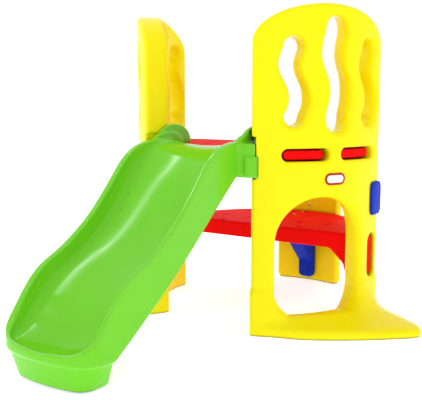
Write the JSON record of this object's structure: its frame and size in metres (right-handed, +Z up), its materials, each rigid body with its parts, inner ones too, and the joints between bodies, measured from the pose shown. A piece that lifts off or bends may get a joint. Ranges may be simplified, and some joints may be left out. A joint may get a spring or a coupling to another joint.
{
  "type": "toddler climber slide",
  "caption": "Moulded plastic toddler climber: curved arched walls with wavy slots and crawl arches, two decks at different heights, and a wavy slide that rests on its own foot.",
  "frame": {"origin": "on the floor, at the middle of the whole climber in plan", "axes": "X across the slide, +Y from the slide's lip towards the back wall, +Z up"},
  "size_m": [1.5404, 1.783, 1.22],
  "materials": {
    "slide_green": "glossy moulded polyethylene, bright green",
    "wall_yellow": "satin moulded polyethylene, yellow",
    "deck_red": "satin moulded polyethylene, red",
    "fitting_blue": "satin moulded polyethylene, blue",
    "badge_red": "smooth printed plastic, red",
    "badge_white": "smooth printed plastic, white, left blank",
    "screw_steel": "zinc-plated steel"
  },
  "bodies": {
    "root": {"slide": "slide_green", "right_wall": "wall_yellow", "left_wall": "wall_yellow", "back_wall": "wall_yellow", "upper_deck": "deck_red", "lower_deck": "deck_red", "back_bracket": "fitting_blue", "right_edge_grip": "fitting_blue", "left_edge_grip": "fitting_blue", "badge_border": "badge_red", "badge_face": "badge_white", "slide_screws": "screw_steel", "upper_deck_screws": "screw_steel", "lower_deck_screws": "screw_steel", "bracket_screws": "screw_steel", "back_wall_screw": "screw_steel", "grip_screws": "screw_steel"}
  },
  "joints": []
}
